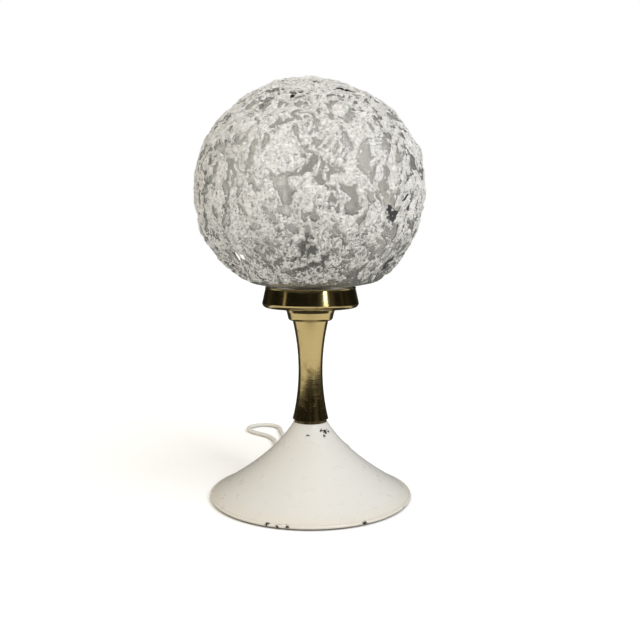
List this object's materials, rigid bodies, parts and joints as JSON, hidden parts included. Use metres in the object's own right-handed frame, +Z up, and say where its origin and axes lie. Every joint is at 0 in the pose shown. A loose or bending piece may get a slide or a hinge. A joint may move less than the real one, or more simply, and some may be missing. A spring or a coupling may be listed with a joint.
{
  "type": "table_lamp",
  "caption": "Table lamp with a textured glass globe on a brass cup and waisted brass stem, over a white lacquered trumpet foot, with a switched mains lead",
  "frame": {"origin": "on the table, under the middle of the round foot", "axes": "+Z up along the stem, -Y the front, +Y the rear where the mains lead leaves, +X the right as seen from the front"},
  "size_m": [0.2, 0.427, 0.369],
  "materials": {
    "white_lacquer": "aged gloss lacquer with small chips",
    "polished_brass": "polished, tarnished in places",
    "dark_brass": "tarnished dark",
    "plain_brass": "dull",
    "zinc_steel": "zinc plated",
    "grey_iron": "rough cast",
    "grey_felt": "pressed felt",
    "textured_glass": "clear blown glass under raised crackled white",
    "bulb_glass": "clear",
    "bulb_metal": "pressed",
    "filament_wire": "drawn wire",
    "black_bakelite": "moulded",
    "holder_ceramic": "unglazed",
    "pale_rubber": "matt",
    "white_pvc": "smooth, yellowed a little",
    "switch_white": "moulded",
    "live_brown": "smooth",
    "neutral_blue": "smooth",
    "tie_black": "smooth"
  },
  "bodies": {
    "lamp": {"felt_pad": "grey_felt", "bottom_cover": "zinc_steel", "ballast": "grey_iron", "base_shell": "white_lacquer", "lower_nut": "zinc_steel", "lower_washer": "zinc_steel", "spacer_tube": "zinc_steel", "centre_rod": "zinc_steel", "cord_bushing": "white_pvc", "cord_anchor": "black_bakelite", "cord_sheath_end": "white_pvc", "conductor_live": "live_brown", "conductor_neutral": "neutral_blue", "foot_ring": "dark_brass", "stem": "polished_brass", "neck_collar": "polished_brass", "gallery_cup": "polished_brass", "thread_ring": "plain_brass", "upper_washer": "zinc_steel", "upper_nut": "plain_brass", "socket_cap": "black_bakelite", "socket_insert": "holder_ceramic", "terminal_screws": "plain_brass", "socket_skirt": "black_bakelite", "socket_thread": "plain_brass", "centre_contact": "plain_brass", "cord_lead": "white_pvc", "cord_coil": "white_pvc", "coil_tie": "tie_black", "cord_tail": "white_pvc", "switch_base": "switch_white", "switch_cover": "switch_white", "switch_contacts": "plain_brass", "switch_screws": "zinc_steel", "cord_end": "white_pvc", "plug_relief": "white_pvc", "plug_body": "switch_white", "plug_pins": "bulb_metal"},
    "globe_lift": {"neck_gasket": "pale_rubber"},
    "globe": {"globe": "textured_glass"},
    "bulb_lift": {"bulb_tip": "bulb_metal"},
    "bulb": {"bulb_insulator": "black_bakelite", "bulb_cap": "bulb_metal", "bulb_glass": "bulb_glass", "bulb_mount": "bulb_glass", "bulb_filament": "filament_wire"},
    "rocker": {"switch_rocker": "switch_white"}
  },
  "joints": [
    {"name": "globe_rise", "type": "slide", "parent": "lamp", "child": "globe_lift", "axis": [0, 0, 1], "range_m": [0, 0.0075]},
    {"name": "globe_turn", "type": "hinge", "parent": "globe_lift", "child": "globe", "pos_m": [0, 0, 0.18], "axis": [0, 0, 1], "range_deg": [0, 540]},
    {"name": "bulb_rise", "type": "slide", "parent": "lamp", "child": "bulb_lift", "axis": [0, 0, 1], "range_m": [0, 0.00726]},
    {"name": "bulb_turn", "type": "hinge", "parent": "bulb_lift", "child": "bulb", "pos_m": [0, 0, 0.212], "axis": [0, 0, 1], "range_deg": [0, 720.1]},
    {"name": "switch_rock", "type": "hinge", "parent": "lamp", "child": "rocker", "pos_m": [0.003, 0.213, 0.01], "axis": [1, 0, 0], "range_deg": [0, 16]}
  ],
  "couplings": [
    {"joint": "globe_rise", "follows": "globe_turn", "m_per_rad": 0.00079577},
    {"joint": "bulb_turn", "follows": "bulb_rise", "rad_per_m": 1731.4}
  ]
}
